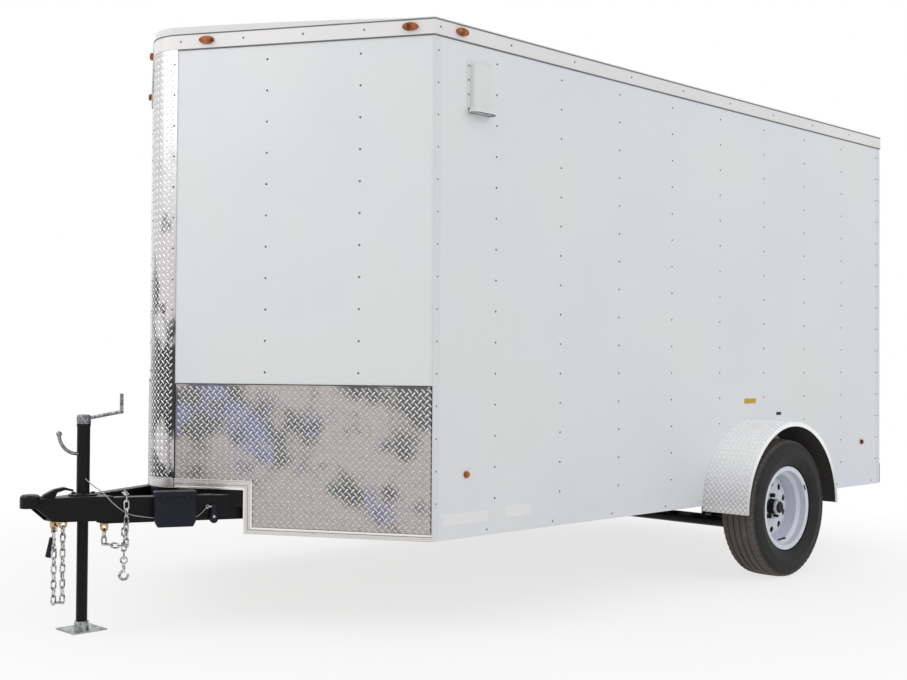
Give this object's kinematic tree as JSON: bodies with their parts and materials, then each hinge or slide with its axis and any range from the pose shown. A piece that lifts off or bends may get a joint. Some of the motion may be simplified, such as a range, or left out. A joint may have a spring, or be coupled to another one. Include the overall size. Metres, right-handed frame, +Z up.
{
  "type": "v-nose cargo trailer",
  "caption": "Enclosed single-axle cargo trailer with a pointed nose, rear ramp door, side door and an A-frame tongue on a jack.",
  "frame": {"origin": "on the ground, under the middle of the overall length and width", "axes": "+X forward to the coupler, +Y to the trailer's left, +Z up"},
  "size_m": [4.8972, 2.582, 2.446],
  "materials": {
    "amber_lens": "amber lens",
    "black_plastic": "moulded black plastic",
    "black_steel": "semi-gloss black painted steel",
    "bright_trim": "extruded aluminium trim",
    "cable_grey": "clear-coated steel wire rope",
    "cord_black": "black cable jacket",
    "floor_wood": "plywood",
    "hub_black": "black painted hub and drum",
    "red_lens": "red lens",
    "roof_skin": "white painted roof sheet",
    "tread_plate": "bright raised-lug tread plate",
    "tyre_rubber": "black tyre rubber",
    "white_plastic": "moulded white plastic",
    "white_skin": "smooth white painted aluminium sheet",
    "white_wheel": "gloss white painted pressed steel",
    "zinc": "zinc plated steel"
  },
  "bodies": {
    "trailer": {"amber_lamps": "amber_lens", "axle": "black_steel", "battery_box": "black_plastic", "bottom_trim": "bright_trim", "breakaway_cable": "cable_grey", "breakaway_switch": "black_plastic", "chain_hooks": "zinc", "chain_lugs": "black_steel", "coupler": "black_steel", "coupler_latch": "black_steel", "cross_members": "black_steel", "door_hinges": "zinc", "fender_left": "tread_plate", "fender_right": "tread_plate", "floor": "floor_wood", "jack_crank": "zinc", "jack_hook": "zinc", "jack_tube": "black_steel", "leaf_springs": "black_steel", "main_rail_left": "black_steel", "main_rail_right": "black_steel", "nose_cap": "tread_plate", "nose_wall_left": "white_skin", "nose_wall_right": "white_skin", "plug_cord": "cord_black", "rear_frame": "white_skin", "rear_sill": "black_steel", "red_lamps": "red_lens", "roof": "roof_skin", "roof_band": "white_skin", "safety_chain_front": "zinc", "safety_chain_rail": "zinc", "side_door_frame": "bright_trim", "side_vents": "white_plastic", "spring_hangers": "black_steel", "spring_seats": "black_steel", "stone_guards": "tread_plate", "tail_lamps": "red_lens", "tongue_rail_left": "black_steel", "tongue_rail_right": "black_steel", "trailer_plug": "black_plastic", "wall_left": "white_skin", "wall_right": "white_skin"},
    "wheel_left": {"tyre_left": "tyre_rubber", "rim_left": "white_wheel", "hub_left": "hub_black"},
    "wheel_right": {"tyre_right": "tyre_rubber", "rim_right": "white_wheel", "hub_right": "hub_black"},
    "ramp": {"ramp_panel": "white_skin", "ramp_hardware": "zinc"},
    "side_door": {"side_door_panel": "white_skin", "side_door_hardware": "zinc"},
    "jack_inner": {"jack_leg": "black_steel", "jack_foot": "zinc"}
  },
  "joints": [
    {"name": "wheel_left_spin", "type": "hinge", "parent": "trailer", "child": "wheel_left", "pos_m": [-0.99656, 1.174, 0.3445], "axis": [0, 1, 0], "continuous": true},
    {"name": "wheel_right_spin", "type": "hinge", "parent": "trailer", "child": "wheel_right", "pos_m": [-0.99656, -1.174, 0.3445], "axis": [0, 1, 0], "continuous": true},
    {"name": "ramp_hinge", "type": "hinge", "parent": "trailer", "child": "ramp", "pos_m": [-2.40256, 0, 0.488], "axis": [0, -1, 0], "range_deg": [0, 104]},
    {"name": "side_door_hinge", "type": "hinge", "parent": "trailer", "child": "side_door", "pos_m": [0.84844, -1.055, 1.4], "axis": [0, 0, 1], "range_deg": [0, 170]},
    {"name": "jack_slide", "type": "slide", "parent": "trailer", "child": "jack_inner", "axis": [0, 0, 1], "range_m": [0, 0.24]}
  ]
}
